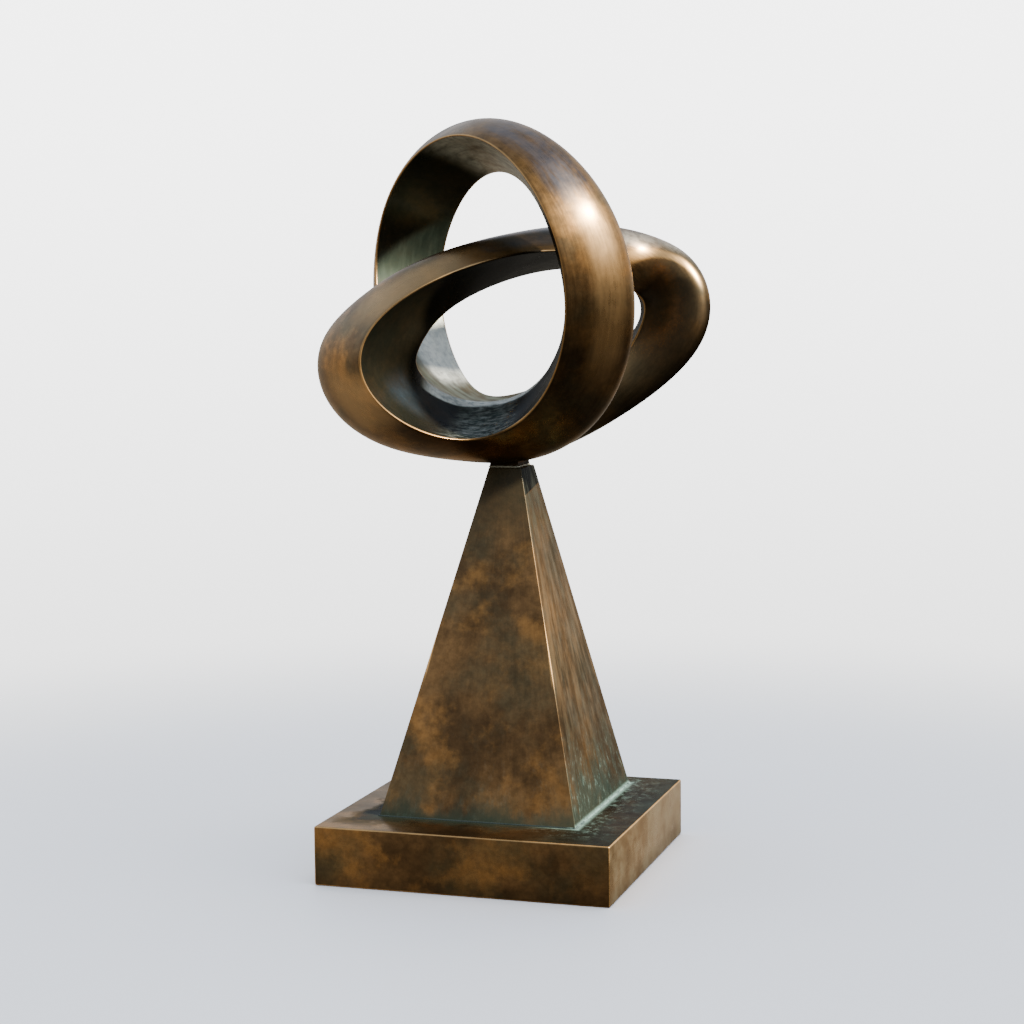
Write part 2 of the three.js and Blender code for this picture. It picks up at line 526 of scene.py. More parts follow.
    place_on_line = w.scaled(w.vector("NORMALIZE", across), w.times(side, half))
    lean = w.times(lean, w.rest(on_inner))
    upward = w.vector("ADD", outward, w.scaled(w.vector("NORMALIZE", across), lean))
    position = w.vector("ADD", w.vector("ADD", middle, place_on_line), w.scaled(upward, rise))
    shaped = w.node("GeometryNodeSetPosition", Geometry=grid.outputs["Mesh"], Position=position)

    # what the patina and the painted light follow: side, inner face, land, and a grain that runs
    # along the band
    turn = w.times(place, 2 * math.pi)
    grain = w.joined(w.times(angle, 0.1), w.math("COSINE", turn), w.math("SINE", turn))
    geometry = shaped.outputs[0]
    guides = {"side": side, "inner": on_inner, "land": on_land, "grain": grain}
    for name, kind in SKIN_GUIDES.items():
        settings = {"data_type": kind, "domain": "POINT"}
        store = w.node("GeometryNodeStoreNamedAttribute", settings, Geometry=geometry, Name=name)
        w.put(store.inputs["Value"], guides[name])
        geometry = store.outputs[0]
    merged = w.node("GeometryNodeMergeByDistance", Geometry=geometry, Distance=SEAM_REACH)
    finish_tree(w, merged.outputs[0], given["Metal"])
    return tree


def bead_tree():
    """Lays an uneven bead of weld along a closed path."""
    tree, w, given = new_geometry_tree("weld bead", BEAD_SIZES)
    path = w.node("GeometryNodeMeshToCurve", Mesh=given["Geometry"])
    fine = w.node("GeometryNodeResampleCurve", {"mode": "LENGTH"}, Curve=path.outputs[0])
    w.put(fine.inputs["Length"], given["Step Length"])
    lumps = w.node("ShaderNodeTexNoise", {"noise_dimensions": "4D"}, Scale=90.0, Detail=2.0)
    w.put(lumps.inputs["Vector"], w.node("GeometryNodeInputPosition").outputs[0])
    w.put(lumps.inputs["W"], given["Seed"])
    lumpy = w.times(w.minus(lumps.outputs[0], 0.5), given["Unevenness"])
    sized = w.node("GeometryNodeSetCurveRadius", Curve=fine.outputs[0])
    w.put(sized.inputs["Radius"], w.plus(1.0, lumpy))
    ring = w.node("GeometryNodeCurvePrimitiveCircle")
    w.put(ring.inputs["Resolution"], given["Ring Steps"])
    w.put(ring.inputs["Radius"], given["Radius"])
    bead = w.node("GeometryNodeCurveToMesh", Curve=sized.outputs[0])
    w.put(bead.inputs["Profile Curve"], ring.outputs[0])
    rounded = w.node("GeometryNodeSetShadeSmooth", Geometry=bead.outputs[0])
    finish_tree(w, rounded.outputs[0], given["Metal"])
    return tree


def corners_of(rectangle, height):
    """The corners of a level rectangle, which is given in millimetres, in the row frame."""
    width, depth, x, y = rectangle
    middle = Vector((plinth_middle.x, plinth_middle.y, height))
    signs = ((-1, -1), (1, -1), (1, 1), (-1, 1))
    return [Vector((x + i * width / 2, y + j * depth / 2, 0)) * MM + middle for i, j in signs]


def bead_path(rectangle, height):
    mesh = bpy.data.meshes.new("path")
    mesh.from_pydata(corners_of(rectangle, height), [(0, 1), (1, 2), (2, 3), (3, 0)], [])
    return link(mesh, "path")


def capped(piece):
    """Closes both ends of a strand with a low cone, and points its faces outwards. Where two
    strands meet, each cone lies inside the other strand, so their union leaves no wall."""
    sheet = bmesh.new()
    sheet.from_mesh(piece.data)
    rims = [e for e in sheet.edges if e.is_boundary]
    bmesh.ops.holes_fill(sheet, edges=rims, sides=0)
    bmesh.ops.recalc_face_normals(sheet, faces=sheet.faces)
    if sheet.calc_volume(signed=True) < 0:
        bmesh.ops.reverse_faces(sheet, faces=sheet.faces)
    caps = [f for f in sheet.faces if len(f.verts) > 4]
    bmesh.ops.poke(sheet, faces=caps, offset=CAP_RISE, center_mode="MEAN_WEIGHTED")
    sheet.to_mesh(piece.data)
    sheet.free()
    return piece


def tapered_block(foot, top, low, high):
    """A closed block between two level rectangles, low and high in metres."""
    block = bmesh.new()
    corners = [block.verts.new(at) for at in corners_of(foot, low) + corners_of(top, high)]
    for k in range(4):
        n = (k + 1) % 4
        block.faces.new((corners[k], corners[n], corners[n + 4], corners[k + 4]))
    block.faces.new(corners[3::-1])
    block.faces.new(corners[4:])
    return block


def joined_band(strands, root):
    """The two strands and the root as one closed skin, with the strands' guides. Each point takes
    those of the nearest point on the strands."""
    points = [vertex.co.copy() for strand in strands for vertex in strand.data.vertices]
    guides = {
        name: [value for strand in strands for value in read_guide(strand.data, name, kind)]
        for name, kind in SKIN_GUIDES.items()
    }
    whole = strands[0]
    for other in (strands[1], root):
        join = whole.modifiers.new("join", "BOOLEAN")
        join.operation = "UNION"
        join.solver = "MANIFOLD"
        join.object = other
    mesh = evaluated_mesh(whole)
    for used in (*strands, root):
        bpy.data.objects.remove(used)
    nearby = kdtree.KDTree(len(points))
    for k, point in enumerate(points):
        nearby.insert(point, k)
    nearby.balance()
    nearest = [nearby.find(vertex.co)[1] for vertex in mesh.vertices]
    for name, kind in SKIN_GUIDES.items():
        if name in mesh.attributes:
            mesh.attributes.remove(mesh.attributes[name])
        store_guide(mesh, name, kind, [guides[name][k] for k in nearest])
    mesh.shade_smooth()
    mesh.set_sharp_from_angle(angle=BAND_SHARP)
    return mesh


# ---------------------------------------------------------------- patinas and painted light
def colour(hex_code):
    """A colour as it is mixed on the bench, turned linear."""
    parts = [int(hex_code[i : i + 2], 16) / 255 for i in (0, 2, 4)]
    line = [c / 12.92 if c <= 0.04045 else ((c + 0.055) / 1.055) ** 2.4 for c in parts]
    return (*line, 1.0)


DARK_BROWN = colour("523d25")
BRONZE_BROWN = colour("7f5f3a")
GOLDEN = colour("b07d42")
OLIVE = colour("524c36")
# worn metal, and also a painted highlight along the band's ridge
BARE_COPPER = colour("f2ba74")
# warm patina, and on the band the tone of painted highlights and reflections
WARM = colour("caa06a")
# the tint of painted cool sky reflections on the band
COOL_SHEEN = colour("6d8394")
TEAL = colour("2a3b31")
DEEP_TEAL = colour("15201a")
PALE_WELD = colour("8d8a76")
MINT = colour("7f9888")
# the band's pale salts, brightened to carry painted sunlight and painted sky sheen too
SILVER = colour("eae8d6")
DUST = colour("656856")
# the near black of painted shade and dark patina
SHADE_AND_PATINA_DARK = colour("17150e")
BRIGHT_GLEAM = (0.9, 0.83, 0.74, 1)  # tint of the metal's grazing light, polished and crusted
DULL_GLEAM = (0.2, 0.2, 0.17, 1)
WAX = {"Coat Weight": 0.08, "Coat Roughness": 0.2}

BAND_ROUGHNESS = 0.28
PEDESTAL_ROUGHNESS = 0.37
SLAB_ROUGHNESS = 0.28
WORN_EDGE = 4 * MM  # how far from a block's edge its bare metal reaches
# The pedestal's wear is worked out on a block that is longer at both ends, so that its foot and
# its top stay dull. The worn line then meets the upright edges near mid-height only.
PAST_ENDS = 0.1
SLOPE_SPREAD = 0.35  # what a tapered block's widths shrink to in its own lengths
PATCHY = (0.35, 0.65)  # shares of a mottle between which a tone comes in
STREAKY = (0.3, 0.6)

# Where tones lie on the band: along it, as places from 0 to 1 over its two turns, and across it,
# as sides from -1 at the back edge to 1 at the front edge. Each tone begins, is full, starts to
# fade and ends.
# Painted light among these: painted shade under shoulder, beside low crown and by the right rim;
# painted highlights and reflections at highlight right side, sheen rise, sheen left end, cool,
# blue, ridge, grey_sheen and blue_sheen; pale patina with painted sunlight at silver.
ALONG = {
    "rained": (0.44, 0.47, 0.655, 0.668),
    "crowned": (0.725, 0.75, 0.79, 0.85),
    "silver": (0.535, 0.56, 0.58, 0.605),
    "under shoulder": (0.32, 0.345, 0.44, 0.475),
    "beside low crown": (0.2, 0.225, 0.26, 0.28),
    "right rim": (0.85, 0.875, 0.91, 0.96),
    "highlight right side": (0.84, 0.87, 0.905, 0.935),
    "sheen rise": (0.145, 0.17, 0.2, 0.225),
    "sheen left end": (0.075, 0.09, 0.11, 0.13),
    "cool": (0.77, 0.79, 0.82, 0.85),
    "blue": (0.21, 0.23, 0.255, 0.275),
    "ridge": (0.27, 0.3, 0.345, 0.365),
    "grey_sheen": (0.27, 0.3, 0.335, 0.355),
    "blue_sheen": (0.05, 0.075, 0.09, 0.12),
}
ACROSS = {
    "highlight right side": (0.3, 0.55, 0.7, 0.85),
    "cool": (0.25, 0.5, 0.8, 0.95),
    "blue": (-0.4, 0.1, 0.8, 0.95),
    "blue_sheen": (-0.7, -0.2, 0.15, 0.6),
}
# The ridge, along which a highlight is painted, slants over the right end: its side at a place,
# its slope in sides a turn, and where tones lie off it.
RIDGE = {"side": 0.73, "place": 0.321, "slope": 8.8}
OFF_RIDGE = {"ridge": (-0.16, -0.03, 0.02, 0.1), "grey_sheen": (-0.8, -0.5, -0.38, -0.06)}
SHADOW_TURN = {"place": 0.352, "slope": 24.0}  # past here the painted shade under the shoulder widens


def bronze(w, points, grain, shine, bare_and_glint, teal, salts_and_sheen, dust, shade_and_dark_patina, warm, salt_and_sheen_tone=MINT, warm_share_tone=WARM):
    """Waxed bronze. points are lengths on the piece and grain runs along its work. The shares
    say where it is worn to bright metal (on the band also a painted highlight), crusted teal,
    salted (on the band also painted sky sheen and sunlight), dusted pale, darkened by painted
    shading and dark patina, and warmer (warm patina, and on the band painted highlights and
    reflections)."""
    clouds = w.mottle(points, 3.4, 8.0, 0.62)
    patches = w.mottle(points, 8.0, 7.0, 0.62)
    haze = w.mottle(w.vector("ADD", points, (3.7, 1.9, 5.1)), 4.5, 6.0, 0.6)
    speckle = w.mottle(points, 48.0, 4.0, 0.65)
    brush = w.mottle(grain, 1.0, 3.0, 0.6)

    tone = w.mix(w.ramp(clouds, 0.39, 0.59), DARK_BROWN, BRONZE_BROWN)
    tone = w.mix(w.times(w.ramp(patches, 0.47, 0.66), 0.5), tone, GOLDEN)
    tone = w.mix(w.times(w.ramp(haze, 0.45, 0.65), 0.6), tone, OLIVE)
    for grey in (w.ramp(brush, 0.3, 0.7, 0.96, 1.04), w.ramp(speckle, 0.3, 0.7, 0.82, 1.16)):
        tone = w.vector("MULTIPLY", tone, w.joined(grey, grey, grey))
    # warm patina, and on the band painted highlights and reflections; then painted shade and dark
    # patina
    tone = w.mix(warm, tone, warm_share_tone)
    tone = w.mix(shade_and_dark_patina, tone, SHADE_AND_PATINA_DARK)

    pale = w.times(dust, w.ramp(brush, 0.25, 0.75, 0.6, 1.0), clamp=True)
    crust = w.times(teal, w.ramp(patches, 0.3, 0.6, 0.7, 1.0), clamp=True)
    salt_and_sheen_share = w.times(salts_and_sheen, w.ramp(speckle, 0.35, 0.6, 0.65, 1.0), clamp=True)
    for share, layer in ((pale, DUST), (crust, TEAL), (salt_and_sheen_share, salt_and_sheen_tone), (bare_and_glint, BARE_COPPER)):
        tone = w.mix(share, tone, layer)

    rough = w.ramp(patches, 0.35, 0.7, shine + 0.05, shine - 0.05)
    rough = w.plus(rough, w.ramp(brush, 0.3, 0.7, -0.02, 0.03))
    rough = w.plus(rough, w.times(crust, 0.16), w.times(shade_and_dark_patina, 0.14), w.times(salt_and_sheen_share, 0.2))
    rough = w.minus(rough, w.times(bare_and_glint, 0.05), clamp=True)
    metal = w.minus(0.97, w.times(crust, 0.35))
    metal = w.minus(metal, w.times(pale, 0.4))
    metal = w.minus(metal, w.times(salt_and_sheen_share, 0.6), clamp=True)

    grit = w.times(w.mottle(points, 230.0, 2.0, 0.5), 0.05)
    dents = w.times(w.mottle(points, 9.0, 2.0, 0.5), 0.9)
    height = w.plus(grit, w.times(brush, 0.03), dents, w.times(salt_and_sheen_share, 0.3))
    bump = w.node("ShaderNodeBump", Strength=0.2, Distance=2 * MM, Height=height)
    shader = w.node("ShaderNodeBsdfPrincipled", Base_Color=tone, Roughness=rough, Metallic=metal)
    w.put(shader.inputs["Normal"], bump.outputs["Normal"])
    dull = w.plus(crust, shade_and_dark_patina, clamp=True)
    w.put(shader.inputs["Specular Tint"], w.mix(dull, BRIGHT_GLEAM, DULL_GLEAM))
    for name, value in WAX.items():
        shader.inputs[name].default_value = value
    w.node("ShaderNodeOutputMaterial", Surface=shader.outputs[0])


def new_material(name):
    material = bpy.data.materials.new(name)
    material.use_nodes = True
    material.node_tree.nodes.clear()
    w = Wiring(material.node_tree)
    return material, w, w.node("ShaderNodeTexCoord").outputs["Object"]


def attribute(w, name, output="Fac"):
    return w.node("ShaderNodeAttribute", {"attribute_name": name}).outputs[output]


def normal_of(w):
    return w.split(w.node("ShaderNodeNewGeometry").outputs["Normal"])


def band_bronze():
    material, w, points = new_material("band bronze")
    grain = attribute(w, "grain", "Vector")
    side, inner, land = (attribute(w, name) for name in ("side", "inner", "land"))
    outer = w.rest(inner)
    up = normal_of(w)[2]
    _, east, north = w.split(grain)
    turn = w.over(w.math("ARCTAN2", north, east), 2 * math.pi)
    place = w.math("FRACT", w.plus(turn, 1.0))
    streaks = w.drawn_mottle(grain, (60.0, 6.0, 6.0), 5.0, 0.65)
    flecks = w.drawn_mottle(grain, (110.0, 16.0, 16.0), 6.0, 0.7)
    slant = w.times(w.minus(place, RIDGE["place"]), RIDGE["slope"])
    off_ridge = w.minus(w.plus(side, slant), RIDGE["side"])

    def within(value, begin, full, fading, end):
        return w.times(w.ramp(value, begin, full), w.ramp(value, end, fading))

    def along(name):
        return within(place, *ALONG[name])

    def across(name):
        return within(side, *ACROSS[name])

    # inside: the back strand washed pale by rain, palest over the foot where pale patina also
    # carries painted sunlight, and damp hollows that face up
    slanted = w.plus(place, w.times(side, 0.02))
    rained = w.times(inner, within(slanted, *ALONG["rained"]))
    crowned = w.times(inner, along("crowned"))
    silver = w.times(along("silver"), w.ramp(side, 0.4, -0.2), inner)
    pooled = w.times(inner, w.ramp(up, 0.75, 0.98), w.rest(rained))
    low = w.ramp(place, 0.59, 0.625, 1.0, 0.25)
    dust = w.times(rained, low, w.ramp(streaks, 0.4, 0.62, 0.3, 1.0))
    teal = w.plus(
        w.times(pooled, w.ramp(streaks, 0.35, 0.6, 0.3, 0.9)),
        w.times(inner, 0.25),
        w.times(rained, w.ramp(place, 0.61, 0.63, 0.0, 0.3)),
    )
    # inside: a painted blue sky reflection low in the low loop's left end, and the facet behind the
    # fold
    blue_sheen = w.times(along("blue_sheen"), across("blue_sheen"), inner, w.ramp(streaks, 0.35, 0.6, 0.7, 1.0))
    facet = w.times(w.ramp(side, -0.57, -0.66), w.ramp(east, 0.9, 0.95), inner)

    # outside: painted shade under the right end's shoulder, beside the low crown, by the rim and on
    # the root
    past = w.larger(w.minus(place, SHADOW_TURN["place"]), 0.0)
    under = w.ramp(w.plus(off_ridge, w.times(past, SHADOW_TURN["slope"])), 0.05, 0.42)
    under = w.times(under, along("under shoulder"))
    beside = w.times(w.ramp(side, 0.3, 0.6), along("beside low crown"))
    by_rim = w.times(w.ramp(side, 0.72, 0.9), along("right rim"))
    seat = w.ramp(w.split(points)[2], seat_height + 0.03, seat_height + 0.01, 0.0, 0.85)
    dark = w.larger(
        w.times(under, 0.88),
        w.times(beside, w.ramp(land, 0.0, 0.6, 0.7, 1.0)),
        w.times(by_rim, 0.5),
        seat,
    )
    # outside: a painted warm highlight along the tall loop's right side, painted warm reflections
    # up to the low crown and at the low loop's left end, and painted cool sky reflections beside
    # the tall crown and over the low one
    right_side = w.times(across("highlight right side"), along("highlight right side"))
    rise = w.times(w.ramp(side, 0.5, 0.8), along("sheen rise"))
    left_end = w.times(w.ramp(side, 0.5, 0.75), along("sheen left end"))
    warm = w.plus(w.times(right_side, 0.6), w.times(w.larger(rise, w.times(left_end, 0.9)), 0.45))
    cool = w.times(across("cool"), along("cool"), w.ramp(streaks, 0.35, 0.55, 0.12, 0.3))
    cool = w.larger(cool, w.times(across("blue"), along("blue"), 0.3))
    warm = w.plus(w.times(w.larger(warm, cool), outer), w.times(blue_sheen, 0.7))
    # outside: a painted highlight along the right end's ridge, and a painted grey sky reflection
    # behind it
    ridge = w.times(within(off_ridge, *OFF_RIDGE["ridge"]), outer, along("ridge"))
    grey_sheen = w.times(within(off_ridge, *OFF_RIDGE["grey_sheen"]), outer, along("grey_sheen"))
    # bare land on the worn rims, and along the ridge a painted highlight in bare copper
    bare_and_glint = w.times(w.ramp(land, 0.15, 0.85, 0.0, 0.28), w.rest(w.times(beside, 0.9)))
    bare_and_glint = w.plus(bare_and_glint, w.times(ridge, 0.7))

    salts_and_sheen = w.plus(
        w.times(pooled, w.ramp(flecks, 0.4, 0.66, 0.0, 0.5)),
        w.times(silver, w.ramp(streaks, *STREAKY, 0.7, 1.0)),
        w.times(crowned, w.ramp(streaks, *STREAKY, 0.25, 0.55)),
        w.times(grey_sheen, 0.27),
        w.times(facet, w.ramp(streaks, *STREAKY, 0.45, 0.85)),
    )
    # painted shade over the inner faces, less where they are pale, and on the outside as set above
    paler = w.plus(w.times(rained, low, 0.4), w.times(crowned, 0.65), w.times(blue_sheen, 0.2))
    paler = w.minus(paler, w.times(rained, w.ramp(place, 0.61, 0.63, 0.0, 0.16)))
    shade_and_dark_patina = w.times(inner, w.minus(0.85, paler))
    shade_and_dark_patina = w.plus(shade_and_dark_patina, w.times(outer, dark), clamp=True)
    bronze(
        w,
        points,
        w.vector("MULTIPLY", grain, (220.0, 14.0, 14.0)),
        BAND_ROUGHNESS,
        bare_and_glint=bare_and_glint,
        teal=teal,
        salts_and_sheen=salts_and_sheen,
        dust=dust,
        shade_and_dark_patina=shade_and_dark_patina,
        warm=warm,
        salt_and_sheen_tone=SILVER,
        warm_share_tone=w.mix(w.larger(inner, w.ramp(cool, 0.0, 0.05)), WARM, COOL_SHEEN),
    )
    return material


def in_metres(rectangle):
    """A level rectangle's width and depth, and its middle in the row frame."""
    width, depth, x, y = (value * MM for value in rectangle)
    return width, depth, x + plinth_middle.x, y + plinth_middle.y


def off_middle(w, points, low, high, foot, top):
    """For x and y: how far a point on a tapered block is off its middle, and the half width."""
    x, y, z = w.split(points)
    share = w.over(w.minus(z, low), high - low)
    found = []
    for value, k in ((x, 0), (y, 1)):
        centre = w.plus(foot[k + 2], w.times(share, top[k + 2] - foot[k + 2]))
        half = w.plus(foot[k] / 2, w.times(share, (top[k] - foot[k]) / 2))
        found.append((w.minus(value, centre), half))
    return found


def worn_edges(w, points, low, high, foot, top):
    """Bright metal near a tapered block's edges, thinner here and there."""
    gaps = [
        w.size(w.minus(half, w.size(off)))
        for off, half in off_middle(w, points, low, high, foot, top)
    ]
    z = w.split(points)[2]
    upright = w.smaller(w.size(w.minus(z, low)), w.size(w.minus(high, z)))
    distance = w.larger(w.smaller(*gaps), w.smaller(w.larger(*gaps), upright))
    broken = w.ramp(w.mottle(points, 18.0, 3.0, 0.6), 0.3, 0.7, 0.9, 1.15)
    return w.ramp(w.over(distance, w.times(broken, WORN_EDGE)), 1.0, 0.4)


def along_slope(w, points, low, high, foot, top):
    """A tapered block's own lengths: its faces turn upright, so that a streak runs down them."""
    x, y = (
        w.times(w.over(off, half), width * SLOPE_SPREAD)
        for (off, half), width in zip(off_middle(w, points, low, high, foot, top), foot)
    )
    return w.joined(x, y, w.split(points)[2])


def pedestal_bronze():
    material, w, points = new_material("pedestal bronze")
    foot, top = in_metres(PEDESTAL_FOOT), in_metres(PEDESTAL_TOP)
    low, high = slab_high.z, pedestal_high.z
    bare_and_glint = w.times(worn_edges(w, points, low - PAST_ENDS, high + PAST_ENDS, foot, top), 0.85)
    slope = along_slope(w, points, low, high, foot, top)
    _, y, z = w.split(points)
    height = w.minus(z, low)
    weather = w.ramp(normal_of(w)[0], 0.2, 0.8)
    runs = w.drawn_mottle(slope, (15.0, 15.0, 3.5), 6.0, 0.68)
    wisps = w.drawn_mottle(slope, (90.0, 90.0, 36.0), 6.0, 0.72)
    blotches = w.drawn_mottle(slope, (15.0, 15.0, 8.0), 6.0, 0.65)

    # crust and salts climb from the foot, further up the weather side
    long = w.times(weather, w.ramp(runs, 0.4, 0.7, 0.05, 0.55))
    reach = w.plus(long, w.ramp(runs, 0.35, 0.7, 0.03, 0.14))
    teal = w.ramp(w.over(height, reach), 1.0, 0.0, 0.0, 0.9)
    near = w.times(w.ramp(height, 0.014, 0.003, 0.0, 0.8), weather)
    flecks = w.times(
        w.ramp(height, 0.34, 0.02),
        w.ramp(wisps, 0.52, 0.64),
        w.ramp(blotches, 0.42, 0.58, 0.25, 1.0),
        w.ramp(weather, 0.0, 1.0, 0.06, 0.45),
    )
    warm = w.times(w.ramp(height, 0.1, 0.35), w.ramp(height, 0.75, 0.55), weather, 0.4)
    warm = w.times(warm, w.ramp(runs, 0.42, 0.68))
    drab = w.times(weather, w.ramp(blotches, 0.42, 0.62, 0.0, 0.3))

    # darker towards the top, and a painted shadow of the band in a collar on the weather side,
    # whose lower line slants
    line = w.minus(high - 0.052, w.times(w.minus(0.06, y), 0.17))
    band_shadow = w.times(w.ramp(w.over(w.minus(z, line), 0.004), -1.0, 1.0), weather)
    streaked = w.times(weather, w.ramp(runs, 0.58, 0.42, 0.22, 0.45))
    shade_and_dark_patina = w.larger(w.ramp(height, 0.7, 0.88, 0.0, 0.62), band_shadow, streaked)
    teal = w.larger(teal, w.ramp(height, 0.72, 0.9, 0.0, 0.4))
    bronze(
        w,
        points,
        w.vector("MULTIPLY", slope, (120.0, 120.0, 6.0)),
        PEDESTAL_ROUGHNESS,
        bare_and_glint=bare_and_glint,
        teal=w.times(teal, w.rest(band_shadow)),
        salts_and_sheen=w.larger(near, flecks),
        dust=drab,
        shade_and_dark_patina=shade_and_dark_patina,
        warm=warm,
    )
    return material


def slab_bronze():
    material, w, points = new_material("slab bronze")
    size = slab_high - slab_low
    block = (size.x, size.y, plinth_middle.x, plinth_middle.y)
    bare_and_glint = w.times(worn_edges(w, points, slab_low.z, slab_high.z, block, block), 0.75)
    x, y, z = w.split(points)
    normal_x, _, up = normal_of(w)
    level, rightward = w.ramp(up, 0.5, 0.9), w.ramp(normal_x, 0.5, 0.9)
    wander = w.mottle(points, 9.0, 5.0, 0.65)

    # on top: crust round the pedestal's foot, spread out on the weather side, and salts
    foot = in_metres(PEDESTAL_FOOT)
    away = w.larger(
        *(w.minus(w.size(w.minus(at, foot[k + 2])), foot[k] / 2) for at, k in ((x, 0), (y, 1)))
    )
    weather = w.ramp(x, foot[2] + 0.1, foot[2] + 0.3)
    stain = w.ramp(w.over(away, w.ramp(wander, *PATCHY, 0.04, 0.15)), 1.0, 0.0, 0.0, 0.85)
    spread = w.times(weather, w.ramp(wander, 0.35, 0.6, 0.2, 0.55))
    teal = w.times(w.larger(w.times(stain, 0.85), spread), level)
    lined = w.ramp(w.size(away), 0.02, 0.004, 0.0, 0.8)
    lined = w.times(lined, w.times(level, w.ramp(weather, 0.0, 1.0, 0.04, 1.0)))
    grains = w.ramp(w.mottle(points, 45.0, 6.0, 0.75), 0.48, 0.64)
    salted = w.times(grains, w.ramp(away, 0.14, 0.0, 0.05, 0.85), level)
    salted = w.times(salted, w.times(weather, 0.55))
    washed = w.times(rightward, w.ramp(wander, *PATCHY, 0.0, 0.14))
    shade_and_dark_patina = w.times(w.larger(weather, stain), w.times(level, 0.7))
    bronze(
        w,
        points,
        w.vector("MULTIPLY", points, (12.0, 12.0, 60.0)),
        SLAB_ROUGHNESS,
        bare_and_glint=bare_and_glint,
        teal=teal,
        salts_and_sheen=w.larger(lined, salted, washed),
        dust=w.times(rightward, w.ramp(wander, *PATCHY, 0.08, 0.4)),
        shade_and_dark_patina=w.larger(shade_and_dark_patina, w.ramp(z, 0.06, 0.0, 0.0, 0.35)),
        warm=w.times(rightward, w.ramp(wander, *PATCHY, 0.45, 0.7)),
    )
    return material


def weld_crust(name, sheltered):
    """Crust on a weld bead: pale green on the weather side, and another tone where sheltered."""
    material, w, points = new_material(name)
    cloud = w.mottle(points, 20.0, 5.0, 0.65)
    width, _, x, _ = in_metres(PEDESTAL_FOOT)
    edge = x + width / 2
    rained = w.ramp(w.split(points)[0], edge - 0.03, edge - 0.005)
    tone = w.mix(w.times(w.ramp(cloud, 0.3, 0.6), rained), sheltered, MINT)
    grit = w.mottle(points, 320.0, 3.0, 0.6)
    bump = w.node("ShaderNodeBump", Strength=0.6, Distance=1 * MM, Height=grit)
    shader = w.node("ShaderNodeBsdfPrincipled", Base_Color=tone)
    w.put(shader.inputs["Roughness"], w.ramp(cloud, 0.3, 0.7, 0.55, 0.75))
    shader.inputs["Metallic"].default_value = 0.2
    w.put(shader.inputs["Normal"], bump.outputs["Normal"])
    w.node("ShaderNodeOutputMaterial", Surface=shader.outputs[0])
    return material


# ---------------------------------------------------------------- the band
skin = band_tree()
band_metal = band_bronze()
strands = [
    capped(grown(rails(start, end), skin, {**BAND_SIZES, "Metal": band_metal}, name))
    for name, start, end in (
        ("front strand", TALL_CROWN, 1 + LOW_CROWN),
        ("back strand", LOW_CROWN, TALL_CROWN),
    )
]
root_sheet = tapered_block(ROOT_FOOT, ROOT_TOP, band_low.z, seat_height + ROOT_HEIGHT * MM)
root_block = link(new_mesh(root_sheet, "root"), "root block")
band = link(joined_band(strands, root_block), "bronze_band")
band.data.materials.clear()
band.data.materials.append(band_metal)
finish_piece(band, "band_bronze", "loop_band")


# ---------------------------------------------------------------- the plinth
def plinth_piece(sheet, edges, bevel, name, material, slot, node):
    bmesh.ops.bevel(sheet, geom=edges, profile=0.5, affect="EDGES", **bevel)
    bmesh.ops.recalc_face_normals(sheet, faces=sheet.faces)
    mesh = new_mesh(sheet, name)
    mesh.materials.append(material)
    mesh.shade_smooth()
    mesh.set_sharp_from_angle(angle=PLINTH_SHARP)
    finish_piece(link(mesh, name), slot, node)


pedestal_sheet = tapered_block(PEDESTAL_FOOT, PEDESTAL_TOP, pedestal_low.z, pedestal_high.z)
# the foot's four edges stay sharp under the weld
pedestal_edges = [
    edge for edge in pedestal_sheet.edges if max(v.co.z for v in edge.verts) > pedestal_low.z + 0.1
]
plinth_piece(
    pedestal_sheet,
    pedestal_edges,
    PEDESTAL_BEVEL,
    "pedestal_shaft",
    pedestal_bronze(),
    "pedestal_bronze",
    "tapered_pedestal",
)

slab_size = (slab_high - slab_low) / MM
slab_top = (slab_size.x, slab_size.y, 0, 0)
slab_sheet = tapered_block(slab_top, slab_top, slab_low.z, slab_high.z)
plinth_piece(
    slab_sheet,
    list(slab_sheet.edges),
    SLAB_BEVEL,
    "slab_block",
    slab_bronze(),
    "slab_bronze",
    "base_slab",
)

# the weld round the pedestal's foot, and the one under the cast root
beads = bead_tree()
foot_path = bead_path(PEDESTAL_FOOT, slab_high.z)
neck_path = bead_path(ROOT_FOOT, seat_height + NECK_BEAD_RISE)
for name, path, sizes, slot, sheltered in (
    ("foot_weld", foot_path, BEAD_SIZES, "pedestal_bronze", DEEP_TEAL),
    ("neck_weld", neck_path, {**BEAD_SIZES, **NECK_BEAD}, "band_bronze", PALE_WELD),
):
    crust = weld_crust(name.replace("_", " ") + " crust", sheltered)
    bead = grown(path, beads, {**sizes, "Metal": crust}, name)
    if volume(bead.data) < 0:
        bead.data.flip_normals()
    finish_piece(bead, slot)

# ---------------------------------------------------------------- floor, light and camera
CAMERA_TURN = math.radians(17.53)  # to the right of the front
CAMERA_PITCH = math.radians(5.61)
CAMERA_ROLL = math.radians(-0.51)
CAMERA_STAND = Vector((1.8555, -5.7871, 1.597))  # from the plinth's middle on the ground
LENS = 75.82
SENSOR = 36.0
right = Vector((math.cos(CAMERA_TURN), math.sin(CAMERA_TURN), 0))
away = Vector((-right.y, right.x, 0))

KEY = Vector((0.80, -0.20, 0.60)).normalized()  # towards the strong lamp
OVERHEAD = Vector((0, 0, 1))
BAND_HEART = Vector((0, 0, 1.5))  # what the lamps look at
FLOOR_RADIUS = 9.0
FLOOR_DROP = 0.5 * MM
FLOOR_FADE = (1.2, 4.5)  # distances over which the floor passes into the backdrop


